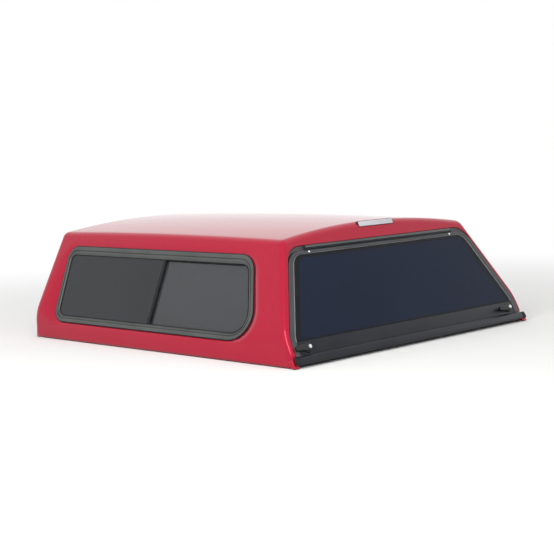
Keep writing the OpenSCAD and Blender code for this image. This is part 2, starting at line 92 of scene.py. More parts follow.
def roofCorner(inset):
    t, zc = tan(lean), roof - canopy["crown"]
    k = halfWidth - inset + beltAt(inset) * t
    b, q = k * t + zc, 1 + t * t
    z = (b + sqrt(b * b - q * (k * k + zc * zc - (canopy["crown"] - inset) ** 2))) / q
    return Vector((k - z * t, z))


def halfLine(low, kink, belt, beltRadius, corner, after, topRadius, topZ):
    # From the base up one side to the middle of the top, always with the same number of points
    foot = Vector((belt.x, low))
    bend = arcPoints(belt, foot, corner, beltRadius, canopy["beltSteps"])
    edge = arcPoints(corner, belt, after, topRadius, canopy["cornerSteps"])
    line = spread(foot, Vector((belt.x, kink)), canopy["footSteps"])
    line.append((line[-1] + bend[0]) / 2)
    line += bend + spread(bend[-1], edge[0], canopy["sideSteps"])[1:-1] + edge
    end = edge[-1]
    for x in spread(end.x, 0, canopy["crownSteps"])[1:]:
        line.append(Vector((x, topZ(x) + (end.y - topZ(end.x)) * (x / end.x) ** 2)))
    return line


def halfSection(inset):
    corner = roofCorner(inset)
    after = Vector((corner.x - canopy["edgeRadius"] / 2, crownZ(corner.x - canopy["edgeRadius"] / 2, inset)))
    return halfLine(base, footZ, Vector((halfWidth - inset, beltAt(inset))), canopy["beltRadius"] - inset,
                    corner, after, canopy["edgeRadius"] - inset, lambda x: crownZ(x, inset))


def bothSides(half):
    return half + [Vector((-p[0], *p[1:])) for p in reversed(half[:-1])]


def ringPoint(p, rearDepth, frontDepth, share):
    rear = rearY + max(0, p.y * tan(rearTilt) - rearSet) + rearDepth
    front = frontY - p.y * tan(canopy["frontTilt"]) - frontDepth
    arch = canopy["arch"] * 4 * share * (1 - share) * (p.y / roof) ** 2
    return Vector((p.x, rear + (front - rear) * share, p.y + arch))


door = {
    "strip": 0.026, "gap": 0.004, "low": 0.016, "top": 0.556, "radius": 0.112, "thick": 0.020,
    "proud": 0.001, "edge": 0.5297, "frame": 0.027, "frameTop": 0.5, "ledge": 0.030, "glassBack": -0.008,
    "jamb": 0.026, "jambFace": -0.0246, "jambDrop": 0.0483, "railTop": 0.056, "bandTop": 0.119,
}


def onRear(x, up, out):
    return Vector((x, rearY - rearSet + up * sin(rearTilt) - out * cos(rearTilt),
                   up * cos(rearTilt) + out * sin(rearTilt)))


def openingHalf(inset, low, drop=0):
    top = door["top"] - drop
    k = halfWidth - inset
    edge = k - max(0, (top * cos(rearTilt) - beltAt(inset)) * tan(lean))
    radius = max(0.020, door["radius"] - (inset - door["strip"]))
    return halfLine(low, max(low + 0.001, footZ / cos(rearTilt)), Vector((k, beltAt(inset) / cos(rearTilt))),
                    canopy["beltRadius"] - inset, Vector((edge, top)), Vector((0, top)), radius, lambda x: top)


def doorHalf(inset, low):
    return openingHalf(door["strip"] + door["gap"] + inset, low,
                       door["top"] - door["edge"] + inset * door["frameTop"])


def gridSheet(rows, closed=False, flip=False):
    # A grid laid along the given lines of points
    bm = bmesh.new()
    across, along = len(rows[0]) - (not closed), len(rows) - 1
    bmesh.ops.create_grid(bm, x_segments=across, y_segments=along, size=1)
    for v in bm.verts:
        i, j = round((v.co.x + 1) / 2 * across), round((v.co.y + 1) / 2 * along)
        v.co = rows[j][i % len(rows[0])]
    if closed:
        bmesh.ops.remove_doubles(bm, verts=bm.verts, dist=1e-6)
    if flip:
        bmesh.ops.reverse_faces(bm, faces=bm.faces)
    bm.normal_update()
    return bm


def capEnds(bm):
    open_ = [e for e in bm.edges if e.is_boundary]
    bmesh.ops.holes_fill(bm, edges=open_, sides=0)
    bmesh.ops.recalc_face_normals(bm, faces=bm.faces)
    return bm


def joinInto(bm, other):
    mesh = bpy.data.meshes.new("joined")
    other.to_mesh(mesh)
    other.free()
    bm.from_mesh(mesh)
    bpy.data.meshes.remove(mesh)
    return bm


def softenEdges(bm, width, segments=2, angle=35):
    sharp = [e for e in bm.edges if len(e.link_faces) == 2 and e.calc_face_angle(0) > radians(angle)]
    bmesh.ops.bevel(bm, geom=sharp, offset=width, segments=segments, profile=0.5, affect="EDGES",
                    material=-1, clamp_overlap=True)
    return bm


def newPiece(name, bm, materials, body, replaced=(), sharp=35):
    mesh = bpy.data.meshes.new(name)
    for face in bm.faces:
        face.smooth = not face.tag
    bm.to_mesh(mesh)
    bm.free()
    piece = bpy.data.objects.new(name, mesh)
    scene.collection.objects.link(piece)
    for material in materials:
        mesh.materials.append(material)
    mesh.set_sharp_from_angle(angle=radians(sharp))
    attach(piece, body)
    if replaced:
        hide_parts(*replaced)
    return piece


def plate(points, out, thick, place, cuts=()):
    # A flat plate from an outline in a plane, cut straight across at each (x, keep side)
    bm = bmesh.new()
    bm.faces.new([bm.verts.new((p[0], p[1], out)) for p in points])
    for x, keep in cuts:
        bmesh.ops.bisect_plane(bm, geom=bm.verts[:] + bm.edges[:] + bm.faces[:], dist=1e-6, plane_co=(x, 0, 0),
                               plane_no=(-keep, 0, 0), clear_outer=True)
    grown = bmesh.ops.extrude_face_region(bm, geom=bm.faces[:])
    bmesh.ops.translate(bm, vec=(0, 0, -thick), verts=[g for g in grown["geom"] if isinstance(g, bmesh.types.BMVert)])
    bmesh.ops.recalc_face_normals(bm, faces=bm.faces)
    return bm


def placeAll(bm, place, flip=False):
    for v in bm.verts:
        v.co = place(*v.co)
    if flip:
        bmesh.ops.reverse_faces(bm, faces=bm.faces)
    return bm


def turnedSolid(profile, steps=48):
    # A lathe shape about the local z axis
    bm = bmesh.new()
    verts = [bm.verts.new((r, 0, z)) for r, z in profile]
    edges = [bm.edges.new(pair) for pair in zip(verts, verts[1:])]
    bmesh.ops.spin(bm, geom=verts + edges, cent=(0, 0, 0), axis=(0, 0, 1), angle=2 * pi, steps=steps, use_merge=True)
    bmesh.ops.remove_doubles(bm, verts=bm.verts, dist=1e-6)
    bmesh.ops.recalc_face_normals(bm, faces=bm.faces)
    return bm


def softened(node, name, material, body, width=0.0006, angle=35):
    # A hard part of the frame again, with its edges eased
    bm = bmesh.new()
    bm.from_mesh(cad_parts[node].data)
    bmesh.ops.remove_doubles(bm, verts=bm.verts, dist=1e-5)
    bmesh.ops.dissolve_limit(bm, angle_limit=radians(1), verts=bm.verts, edges=bm.edges)
    softenEdges(bm, width, 2, angle)
    return newPiece(name, bm, [material], body, [node], 40)


print("materials")


def newTree(name):
    material = bpy.data.materials.new(name)
    material.use_nodes = True
    tree = material.node_tree
    tree.nodes.clear()
    shader = tree.nodes.new("ShaderNodeBsdfPrincipled")
    output = tree.nodes.new("ShaderNodeOutputMaterial")
    tree.links.new(shader.outputs[0], output.inputs["Surface"])
    return material, tree, shader


def addNode(tree, kind, links=(), **values):
    node = tree.nodes.new("ShaderNode" + kind)
    for key, value in values.items():
        setattr(node, key, value)
    for socket, source in links:
        if isinstance(source, (int, float, tuple)):
            node.inputs[socket].default_value = source
        else:
            tree.links.new(source, node.inputs[socket])
    return node


def grainGroup():
    # Two sizes of soft noise on Object coordinates: a tone, a finish and a height
    group = bpy.data.node_groups.new("surfaceGrain", "ShaderNodeTree")
    for name, kind in (("Coarse", "NodeSocketFloat"), ("Fine", "NodeSocketFloat"),
                       ("Low", "NodeSocketFloat"), ("High", "NodeSocketFloat")):
        group.interface.new_socket(name, in_out="INPUT", socket_type=kind)
    for name in ("Tone", "Finish", "Height"):
        group.interface.new_socket(name, in_out="OUTPUT", socket_type="NodeSocketFloat")
    start = group.nodes.new("NodeGroupInput").outputs
    end = group.nodes.new("NodeGroupOutput").inputs
    where = addNode(group, "TexCoord").outputs["Object"]
    coarse = addNode(group, "TexNoise", [("Vector", where), ("Scale", start["Coarse"]), ("Detail", 4.0)])
    fine = addNode(group, "TexNoise", [("Vector", where), ("Scale", start["Fine"]), ("Detail", 3.0)])
    finish = addNode(group, "MapRange", [("Value", coarse.outputs["Fac"]), ("From Min", 0.3), ("From Max", 0.7),
                                         ("To Min", start["Low"]), ("To Max", start["High"])])
    tone = addNode(group, "MapRange", [("Value", coarse.outputs["Fac"]), ("From Min", 0.3), ("From Max", 0.7)])
    group.links.new(tone.outputs[0], end["Tone"])
    group.links.new(finish.outputs[0], end["Finish"])
    group.links.new(fine.outputs["Fac"], end["Height"])
    return group


grain = grainGroup()


def finish(name, dark, light, rough, coarse=6, fine=400, bump=0.0, height=0.0002, **sockets):
    # A finish whose colour moves between two tones and whose gloss varies over the surface
    material, tree, shader = newTree(name)
    group = tree.nodes.new("ShaderNodeGroup")
    group.node_tree = grain
    for key, value in (("Coarse", coarse), ("Fine", fine), ("Low", rough[0]), ("High", rough[1])):
        group.inputs[key].default_value = value
    tones = addNode(tree, "Mix", data_type="RGBA")
    tree.links.new(group.outputs["Tone"], tones.inputs["Factor"])
    tones.inputs[6].default_value, tones.inputs[7].default_value = (*dark, 1), (*light, 1)
    tree.links.new(tones.outputs[2], shader.inputs["Base Color"])
    tree.links.new(group.outputs["Finish"], shader.inputs["Roughness"])
    if bump:
        bumps = addNode(tree, "Bump", [("Strength", bump), ("Distance", height), ("Height", group.outputs["Height"])])
        tree.links.new(bumps.outputs["Normal"], shader.inputs["Normal"])
    for key, value in sockets.items():
        shader.inputs[key.replace("_", " ")].default_value = value
    return material


paint = finish("candyPaint", (0.385, 0.0058, 0.029), (0.392, 0.0062, 0.030), (0.28, 0.30), coarse=3,
               Metallic=0.3, Specular_IOR_Level=0.05, Coat_Weight=1.0, Coat_Roughness=0.03, Coat_IOR=1.3)
inner = finish("flowCoat", (0.30, 0.30, 0.30), (0.40, 0.40, 0.39), (0.5, 0.65), coarse=14, fine=160, bump=0.3)
anodised = finish("charcoalAnodised", (0.062, 0.068, 0.066), (0.085, 0.091, 0.089), (0.30, 0.40), coarse=9,
                  fine=900, bump=0.08, Metallic=0.4)
frameGrey = finish("doorAnodised", (0.050, 0.050, 0.054), (0.070, 0.070, 0.074), (0.30, 0.40), coarse=9,
                   fine=900, bump=0.08, Metallic=0.4)
blackMetal = finish("blackAnodised", (0.010, 0.012, 0.017), (0.017, 0.019, 0.025), (0.34, 0.44), coarse=9,
                    fine=900, bump=0.08, Metallic=0.2, Specular_IOR_Level=0.3)
beadMetal = finish("brightBead", (0.20, 0.21, 0.22), (0.28, 0.29, 0.30), (0.28, 0.36), coarse=12, Metallic=0.8)
rubber = finish("rubber", (0.006, 0.006, 0.007), (0.012, 0.012, 0.013), (0.55, 0.72), coarse=22, fine=700,
                bump=0.25, Specular_IOR_Level=0.3)
fixedGlass = finish("smokedGlass", (0.020, 0.023, 0.028), (0.026, 0.030, 0.036), (0.02, 0.03), coarse=2,
                    Transmission_Weight=0.5, IOR=1.45, Specular_IOR_Level=0.45)
slidingGlass = finish("smokedSlidingGlass", (0.050, 0.054, 0.060), (0.062, 0.067, 0.074), (0.02, 0.03), coarse=2,
                      Transmission_Weight=0.4, IOR=1.45, Specular_IOR_Level=0.6)
# The rear glass's navy base colour is its dark tint plus a painted reflection of blue sky; its real specular is kept
# low
rearGlass = finish("rearGlassTintAndSkyReflection", (0.002, 0.008, 0.029), (0.003, 0.011, 0.035), (0.02, 0.03), coarse=2,
                   Transmission_Weight=0.2, IOR=1.45, Specular_IOR_Level=0.12)
frit = finish("ceramicBorder", (0.003, 0.004, 0.006), (0.005, 0.006, 0.009), (0.05, 0.08), coarse=4,
              Specular_IOR_Level=0.15)
handleBlack = finish("handleBlack", (0.006, 0.006, 0.007), (0.012, 0.012, 0.013), (0.30, 0.40), coarse=30,
                     fine=900, bump=0.12, Specular_IOR_Level=0.4)
chrome = finish("chrome", (0.72, 0.73, 0.75), (0.80, 0.81, 0.82), (0.06, 0.12), coarse=30, Metallic=1.0)
zinc = finish("zincSteel", (0.42, 0.43, 0.44), (0.56, 0.57, 0.57), (0.30, 0.42), coarse=40, fine=800, bump=0.08,
              Metallic=0.9)
tubeBlack = finish("strutTube", (0.012, 0.012, 0.013), (0.020, 0.020, 0.021), (0.18, 0.26), coarse=20,
                   Coat_Weight=0.5)
lensClear = finish("brakeLens", (0.58, 0.57, 0.62), (0.66, 0.65, 0.70), (0.06, 0.10), coarse=25,
                   Transmission_Weight=0.15, IOR=1.49)

print("shell")
sideWindow = {
    "lean": radians(23.6), "set": 0.004, "z": 0.088, "high": 0.403, "foot": 0.008,
    "rear": 0.243, "rearLean": radians(18.3), "front": 0.162, "frontLean": radians(4.2),
    "radii": (0.117, 0.080, 0.065, 0.100), "sash": (0.033, 0.025, 0.043, 0.031),
    "floor": -0.007, "mouth": 0.024, "gap": 0.004, "recess": (0.046, 0.096, 0.046, 0.046), "soft": 0.014,
    "paneDepth": -0.007, "slideDepth": -0.019, "glass": 0.004, "bar": 0.973, "barWide": 0.023,
}
w = sideWindow


def windowLoop(inset, steps=9):
    low, high = w["foot"] + inset[0], w["foot"] + w["high"] - inset[2]
    rear = w["rear"] - w["foot"] * tan(w["rearLean"]) + inset[3] / cos(w["rearLean"])
    front = canopy["length"] - w["front"] - inset[1] / cos(w["frontLean"])
    ahead = front - w["foot"] * tan(w["frontLean"])
    corners = [(rear + low * tan(w["rearLean"]), low), (ahead + low * tan(w["frontLean"]), low),
               (ahead + high * tan(w["frontLean"]), high), (rear + high * tan(w["rearLean"]), high)]
    return roundedLoop(corners, [max(0.004, w["radii"][k] - (inset[k] + inset[k - 1]) / 2) for k in range(4)], steps)


def sashLoop(share, extra=0.0, steps=9):
    return windowLoop([s * share + extra for s in w["sash"]], steps)


def onSide(side, x, up, out):
    return Vector((side * (halfWidth - w["set"] - up * sin(w["lean"]) + out * cos(w["lean"])), rearY + x,
                   w["z"] + up * cos(w["lean"]) + out * sin(w["lean"])))


def sideCoordinates(p):
    d = Vector((abs(p.x) - halfWidth + w["set"], p.z - w["z"]))
    return (p.y - rearY, d.y * cos(w["lean"]) - d.x * sin(w["lean"]), d.x * cos(w["lean"]) + d.y * sin(w["lean"]))


def loopDistance(points, loop):
    # Distance to a closed outline, below zero inside it
    a = np.array([p[:2] for p in loop])
    b = np.roll(a, -1, axis=0)
    d = b - a
    rel = points[:, None, :] - a[None]
    t = np.clip((rel * d).sum(2) / np.maximum((d * d).sum(1), 1e-12), 0, 1)
    near = np.sqrt(((rel - t[..., None] * d) ** 2).sum(2)).min(1)
    over = (a[:, 1] > points[:, None, 1]) != (b[:, 1] > points[:, None, 1])
    x = a[:, 0] + (points[:, None, 1] - a[:, 1]) * d[:, 0] / np.where(d[:, 1] == 0, 1e-12, d[:, 1])
    return np.where((over & (points[:, None, 0] < x)).sum(1) % 2 == 1, -near, near)


def shellRows():
    foot = (base + door["jambFace"] * -sin(rearTilt)) / cos(rearTilt)
    faceLow = base / cos(rearTilt)

    def onFace(p, out):
        q = onRear(p.x, p.y, out)
        q.y = max(q.y, rearY)
        return Vector((q.x, q.y, max(q.z, base)))

    jamb = [onRear(p.x, p.y, door["jambFace"]) for p in openingHalf(0.052, foot, door["jambDrop"])]
    rows = [jamb, [onRear(p.x, p.y, door["jambFace"]) for p in openingHalf(door["strip"], foot)]]
    lip = openingHalf(door["strip"], faceLow)
    rows.append([onFace(p, -0.0012) for p in lip])
    rows.append([onFace(p, 0) for p in openingHalf(door["strip"] - 0.0004, faceLow, -0.0004)])
    ring = [ringPoint(p, 0, canopy["frontRadius"], 0) for p in halfSection(canopy["rearRadius"])]
    rows += [[a.lerp(b, k / 5) for a, b in zip(rows[3], ring)] for k in range(1, 5)]

    def turned(radius, steps):
        return [(radius * (1 - sin(a)), radius * (1 - cos(a))) for a in spread(0, pi / 2, steps)]

    for inset, depth in turned(canopy["rearRadius"], 8):
        rows.append([ringPoint(p, depth, canopy["frontRadius"], 0) for p in halfSection(inset)])
    section = halfSection(0)
    shares = (spread(0, 0.07, 10)[1:] + spread(0.07, 0.17, 26)[1:] + spread(0.17, 0.90, 30)[1:]
              + spread(0.90, 1, 26)[1:-1])
    for share in shares:
        rows.append([ringPoint(p, canopy["rearRadius"], canopy["frontRadius"], share) for p in section])
    for inset, depth in reversed(turned(canopy["frontRadius"], 8)):
        rows.append([ringPoint(p, canopy["rearRadius"], depth, 1) for p in halfSection(inset)])
    rows.append([ringPoint(p, canopy["rearRadius"], 0, 1) for p in halfSection(canopy["frontRadius"] + 0.004)])
    return [bothSides(row) for row in rows]


def scoopWindows(bm):
    # The recess round each side window: a floor for the frame with sides that fade into the moulding
    verts = [v for v in bm.verts if abs(v.co.x) > 0.55 and v.co.y > rearY + 0.05]
    local = np.array([sideCoordinates(v.co) for v in verts])
    flat = local[:, :2]
    mouth = [-r - w["gap"] for r in w["recess"]]
    toFloor = loopDistance(flat, windowLoop([-w["gap"]] * 4))
    toMouth = loopDistance(flat, windowLoop(mouth))
    t = toFloor / np.maximum(toFloor - toMouth, 1e-6)
    t = np.where(toMouth > 0, 1 + toMouth / 0.05, np.clip(t, 0, 1))
    wallOut = w["floor"] + (w["mouth"] - w["floor"]) * t
    surface, k = local[:, 2], w["soft"]
    h = np.maximum(k - np.abs(surface - wallOut), 0)
    sunk = np.minimum(surface, wallOut) - h * h / (4 * k) * np.clip(toFloor / 0.01, 0, 1)
    normal = Vector((cos(w["lean"]), 0, sin(w["lean"])))
    for v, now, new in zip(verts, surface, sunk):
        side = 1 if v.co.x > 0 else -1
        v.co += Vector((normal.x * side, 0, normal.z)) * (new - now)
    hole = sashLoop(0.5)
    inside = {v for v, d in zip(verts, loopDistance(flat, hole)) if d < 0.002}
    cut = [f for f in bm.faces if all(v in inside for v in f.verts)]
    bmesh.ops.delete(bm, geom=cut, context="FACES")
    line = [Vector(p) for p in sashLoop(0.5, steps=24)]
    for v in bm.verts:
        if v.is_boundary and v in inside:
            x, up, out = sideCoordinates(v.co)
            near = min((a + (b - a) * min(1, max(0, (Vector((x, up)) - a).dot(b - a) / (b - a).length_squared))
                        for a, b in zip(line, line[1:] + line[:1])), key=lambda q: (q - Vector((x, up))).length)
            v.co = onSide(1 if v.co.x > 0 else -1, near.x, near.y, w["floor"])


frontWindow = {"half": 0.520, "high": 0.330, "z": 0.300, "radius": 0.055, "sash": 0.033, "lap": 0.020,
               "proud": 0.006}


def frontLoop(inset, steps=8):
    f = frontWindow
    x, lowEdge, highEdge = f["half"] - inset, f["z"] - f["high"] / 2 + inset, f["z"] + f["high"] / 2 - inset
    return roundedLoop([(-x, lowEdge), (x, lowEdge), (x, highEdge), (-x, highEdge)], [f["radius"] - inset] * 4, steps)


def onFront(x, up, out):
    t = canopy["frontTilt"]
    return Vector((-x, frontY - up * sin(t) + out * cos(t), up * cos(t) + out * sin(t)))


def closeFront(bm):
    # The flat front wall, with the hole for its window
    rim = [e for e in bm.edges if e.is_boundary and all(v.co.y > frontY - 0.014 for v in e.verts)
           and all(abs(v.co.y - onFront(0, v.co.z, 0).y) < 1e-4 for v in e.verts)]
    ends = [v for v in {v for e in rim for v in e.verts} if sum(e in rim for e in v.link_edges) == 1]
    rim.append(bm.edges.new(sorted(ends, key=lambda v: v.co.x)))
    verts = [bm.verts.new(onFront(p.x, p.y, 0)) for p in frontLoop(0.016)]
    rim += [bm.edges.new((a, b)) for a, b in zip(verts, verts[1:] + verts[:1])]
    made = bmesh.ops.triangle_fill(bm, edges=rim, use_beauty=True, use_dissolve=False, normal=(0, 1, 0))
    faces = [f for f in made["geom"] if isinstance(f, bmesh.types.BMFace)]
    for f in faces:
        f.normal_update()
        f.tag = True  # shaded flat
        if f.normal.y < 0:
            f.normal_flip()


shellMesh = gridSheet(shellRows())
middle = max(shellMesh.faces, key=lambda f: f.calc_center_median().z)
if middle.normal.z < 0:
    bmesh.ops.reverse_faces(shellMesh, faces=shellMesh.faces)
scoopWindows(shellMesh)
closeFront(shellMesh)
foot = {"high": 0.052, "out": 0.007, "radius": 0.014, "in": 0.020}


def baseFlange():
    # The inner flange that the canopy rests on
    bottom, top, inside, outside = base, base + 0.008, 0.055, 0.004

    def path(inset, z):
        x, y = halfWidth - inset, frontY - inset
        r = max(0.004, canopy["frontRadius"] - inset)
        return [Vector((p.x, p.y, z)) for p in
                [Vector((x, rearY + 0.002))] + arcPoints(Vector((x, y)), Vector((x, 0)), Vector((0, y)), r, 6)
                + arcPoints(Vector((-x, y)), Vector((0, y)), Vector((-x, 0)), r, 6) + [Vector((-x, rearY + 0.002))]]

    profile = [(outside, bottom), (inside - 0.001, bottom), (inside, bottom + 0.001), (inside, top - 0.002),
               (inside - 0.002, top), (outside, top)]
    rows = [path(*q) for q in profile + profile[:1]]
    bm = gridSheet(rows)
    bmesh.ops.remove_doubles(bm, verts=bm.verts, dist=1e-6)
    return capEnds(bm)


def cornerFoot(side):
    loop = roundedLoop([(halfWidth - door["strip"], 0.0), (halfWidth + foot["out"], 0.0),
                        (halfWidth + foot["out"], foot["high"]), (halfWidth - door["strip"], foot["high"])],
                       [0, 0, foot["radius"], 0], 6)
    bm = plate(loop, 0, -door["jambFace"], onRear)
    softenEdges(bm, 0.003, 3)
    placeAll(bm, lambda x, up, out: onRear(side * x, up, out), side < 0)
    geom = bm.verts[:] + bm.edges[:] + bm.faces[:]
    cut = bmesh.ops.bisect_plane(bm, geom=geom, dist=1e-6, plane_co=(0, 0, base), plane_no=(0, 0, -1), clear_outer=True)
    bmesh.ops.holes_fill(bm, edges=[g for g in cut["geom_cut"] if isinstance(g, bmesh.types.BMEdge)], sides=0)
    bmesh.ops.recalc_face_normals(bm, faces=bm.faces)
    return bm


shellPiece = newPiece("canopyShell", shellMesh, [paint, inner], "canopy", ["shell"], 40)
walls = shellPiece.modifiers.new("walls", "SOLIDIFY")
walls.thickness, walls.offset, walls.material_offset, walls.use_quality_normals = canopy["wall"], -1, 1, True
newPiece("baseFlange", baseFlange(), [inner], "canopy")
for side, name in ((-1, "leftFoot"), (1, "rightFoot")):
    newPiece(name, cornerFoot(side), [paint], "canopy")

print("side windows")


def sweep(profile, outline, place, flip=False):
    # A closed profile of (share, depth) carried round a closed outline
    rows = [[place(p.x, p.y, out) for p in outline(share)] for share, out in profile]
    bm = gridSheet(rows + rows[:1], closed=True, flip=flip)
    bmesh.ops.remove_doubles(bm, verts=bm.verts, dist=1e-6)
    bmesh.ops.recalc_face_normals(bm, faces=bm.faces)
    return bm


sashProfile = [(0.0, -0.0070), (0.0, -0.0016), (0.03, -0.0004), (0.07, 0.0), (0.44, 0.0), (0.48, -0.0006),
               (0.50, -0.0050), (0.60, -0.0050), (0.62, -0.0014), (0.66, -0.0004), (0.73, -0.0002),
               (0.80, -0.0008), (0.84, -0.0030), (1.0, -0.0058), (1.0, -0.0230), (0.90, -0.0230), (0.90, -0.0070)]
for side, hand in ((-1, "left"), (1, "right")):
    def place(x, up, out, side=side):
        return onSide(side, x, up, out)

    newPiece(hand + "WindowFrame", sweep(sashProfile, sashLoop, place), [anodised], "canopy",
             [hand + "_window_frame"])
    lipProfile = [(-0.0030, -0.0068), (-0.0036, -0.0030), (-0.0026, -0.0008), (-0.0010, -0.0004), (0.0006, -0.0006),
                  (0.0006, -0.0068)]
    newPiece(hand + "WindowGasket", sweep(lipProfile, lambda e: windowLoop([e] * 4), place), [rubber], "canopy")
    stripProfile = [(0.0006, -0.0045), (0.0006, -0.0040), (0.0018, -0.0036), (0.0032, -0.0042), (0.0038, -0.0070),
                    (0.0006, -0.0070)]
    newPiece(hand + "GlassStrip", sweep(stripProfile, lambda e: sashLoop(1, e), place), [rubber], "canopy")
    inside = sashLoop(1, 0.0004)
    split = w["bar"] + w["barWide"] / 2
    fixed = plate(inside, w["paneDepth"], w["glass"], None, [(split + 0.0003, 1)])
    newPiece(hand + "FixedGlass", placeAll(softenEdges(fixed, 0.0005, 1, 60), place, side < 0), [fixedGlass],
             "canopy", [hand + "_fixed_glass"])
    slide = plate(inside, w["slideDepth"], w["glass"], None, [(split, -1)])
    newPiece(hand + "SlidingGlass", placeAll(softenEdges(slide, 0.0005, 1, 60), place, side < 0), [slidingGlass],
             "canopy", [hand + "_sliding_glass"])
    bar = plate(inside, -0.0064, 0.0106, None, [(w["bar"] - w["barWide"] / 2, 1), (split, -1)])
    newPiece(hand + "WindowDivider", placeAll(softenEdges(bar, 0.0015, 2, 60), place, side < 0), [rubber],
             "canopy", [hand + "_window_divider"])
    stile = plate(inside, -0.0125, 0.006, None, [(split, 1), (split + 0.078, -1)])
    newPiece(hand + "SlidingStile", placeAll(softenEdges(stile, 0.001, 2, 60), place, side < 0), [anodised],
             "canopy")

print("front window")
f = frontWindow
frontProfile = [(0.0, 0.0), (0.0, 0.0046), (0.0016, 0.0060), (0.017, 0.0060), (0.0185, 0.0044), (0.0205, 0.0044),
                (0.022, 0.0054), (0.030, 0.0046), (0.033, 0.0025), (0.033, -0.0160), (0.029, -0.0160), (0.029, 0.0)]
newPiece("frontWindowFrame", sweep(frontProfile, frontLoop, onFront), [anodised], "canopy",
         ["front_window_frame"])
pane = frontLoop(f["sash"] + 0.0004)
newPiece("frontFixedGlass", placeAll(softenEdges(plate(pane, 0, 0.004, None, [(-f["lap"], 1)]), 0.0005, 1, 60),
                                     onFront), [fixedGlass], "canopy", ["front_fixed_glass"])
newPiece("frontSlidingGlass", placeAll(softenEdges(plate(pane, -0.012, 0.004, None, [(f["lap"], -1)]), 0.0005, 1, 60),
                                       onFront), [slidingGlass], "canopy", ["front_sliding_glass"])

print("rear door")


def openSweep(profile, outline, place):
    # A closed profile of (inset, depth) carried along an open line, with its ends closed
    rows = [[place(p.x, p.y, out) for p in outline(inset)] for inset, out in profile]
    bm = gridSheet(rows + rows[:1])
    bmesh.ops.remove_doubles(bm, verts=bm.verts, dist=1e-6)
    return capEnds(bm)


def doorLine(inset):
    return bothSides(doorHalf(inset, door["railTop"]))


def glassLoop(inset, low):
    # The door's outline at that inset, cut off level at the low end
    half = doorHalf(inset, 0.03)
    kept = next(k for k, p in enumerate(half) if p.y > low + 0.0005)
    below, above = half[kept - 1], half[kept]
    return bothSides([below.lerp(above, (low - below.y) / (above.y - below.y))] + half[kept:])


frameProfile = [(0.0, -0.0190), (0.0, -0.0010), (0.0012, 0.0006), (0.0030, 0.0010), (0.0230, 0.0010),
                (0.0255, 0.0004), (0.0270, -0.0014), (0.0270, -0.0080), (0.0570, -0.0080), (0.0570, -0.0190)]
newPiece("doorFrame", openSweep(frameProfile, doorLine, onRear), [frameGrey], "rear_door",
         ["door_frame"])
beadProfile = [(0.0272, -0.0030), (0.0272, -0.0012), (0.0284, -0.0004), (0.0306, -0.0004), (0.0318, -0.0012),
               (0.0322, -0.0030)]
newPiece("glassBead", openSweep(beadProfile, lambda e: glassLoop(e, door["bandTop"])[:], onRear), [beadMetal],
         "rear_door")


def glassPanel():
    # A pane tinted dark, its navy colour partly a painted reflection of blue sky, with a black fired border, as one
    # plate
    bm, loops = bmesh.new(), []
    front = door["glassBack"] + 0.005
    for inset, low in ((door["frame"] + 0.0003, door["bandTop"] + 0.0003), (0.063, door["bandTop"] + 0.010)):
        verts = [bm.verts.new((p.x, p.y, front)) for p in glassLoop(inset, low)]
        loops.append([bm.edges.new(pair) for pair in zip(verts, verts[1:] + verts[:1])])
    centre = bm.faces.new(verts)
    bmesh.ops.triangle_fill(bm, edges=loops[0] + loops[1], use_beauty=True, normal=(0, 0, 1))
    for face in bm.faces:
        face.material_index = 0 if face is centre else 1
    bmesh.ops.recalc_face_normals(bm, faces=bm.faces)
    grown = bmesh.ops.extrude_face_region(bm, geom=bm.faces[:])
    bmesh.ops.translate(bm, vec=(0, 0, -0.005), verts=[g for g in grown["geom"] if isinstance(g, bmesh.types.BMVert)])
    bmesh.ops.recalc_face_normals(bm, faces=bm.faces)
    return placeAll(bm, onRear)


newPiece("doorGlass", glassPanel(), [rearGlass, frit], "rear_door", ["door_glass"], 20)


def edgeTrim():
    # The strip that closes the gap between the opening's edge and the door, widest at the top
    outer = bothSides(openingHalf(door["strip"] + 0.0004, door["railTop"], 0.0004))
    near = bothSides(doorHalf(-0.0016, door["railTop"]))
    rows = [[onRear(a.x + (b.x - a.x) * t, a.y + (b.y - a.y) * t, out) for a, b in zip(outer, near)]
            for t, out in [(0, -0.0235), (0, -0.0050), (0.12, -0.0030), (0.3, -0.0062), (0.85, -0.0068),
                           (0.95, -0.0076), (1, -0.0100), (1, -0.0235), (0, -0.0235)]]
    bm = gridSheet(rows)
    bmesh.ops.remove_doubles(bm, verts=bm.verts, dist=1e-6)
    return capEnds(bm)


newPiece("edgeTrim", edgeTrim(), [frameGrey], "canopy")


def bandBox():
    side = door["strip"] + door["gap"] + door["frame"]
    low, high = door["railTop"], door["bandTop"]
    half = halfWidth - side + 0.0002
    loop = [(-half, low), (half, low), (half, high), (-half, high)]
    bm = plate([Vector(p) for p in loop], -0.002, 0.017, onRear)
    softenEdges(bm, 0.002, 3, 50)
    return placeAll(bm, onRear)


newPiece("handleBand", bandBox(), [blackMetal], "rear_door", ["handle_rail"])

rail = {"half": 0.838, "cap": 0.028, "proud": 0.014, "drop": 0.008, "in": -0.019}


def railLoop(grow=0.0):
    low, top, out, back = door["low"] - grow, door["railTop"] + grow, rail["proud"] + grow, rail["in"] - grow
    points = [(low, back), (top, back), (top, door["proud"]), (top - 0.010, out - 0.004),
              (door["low"] + rail["drop"], out), (low, out - 0.006)]
    return roundedLoop(points, [0.002, 0.001, 0.002, 0.008, 0.006, 0.004], 5)


def railLength(start, end, loop, ease):
    bm = bmesh.new()
    bm.faces.new([bm.verts.new((start, p.x, p.y)) for p in loop])
    grown = bmesh.ops.extrude_face_region(bm, geom=bm.faces[:])
    bmesh.ops.translate(bm, vec=(end - start, 0, 0), verts=[g for g in grown["geom"] if isinstance(g, bmesh.types.BMVert)])
    bmesh.ops.recalc_face_normals(bm, faces=bm.faces)
    softenEdges(bm, ease, 2, 60)
    return placeAll(bm, onRear)


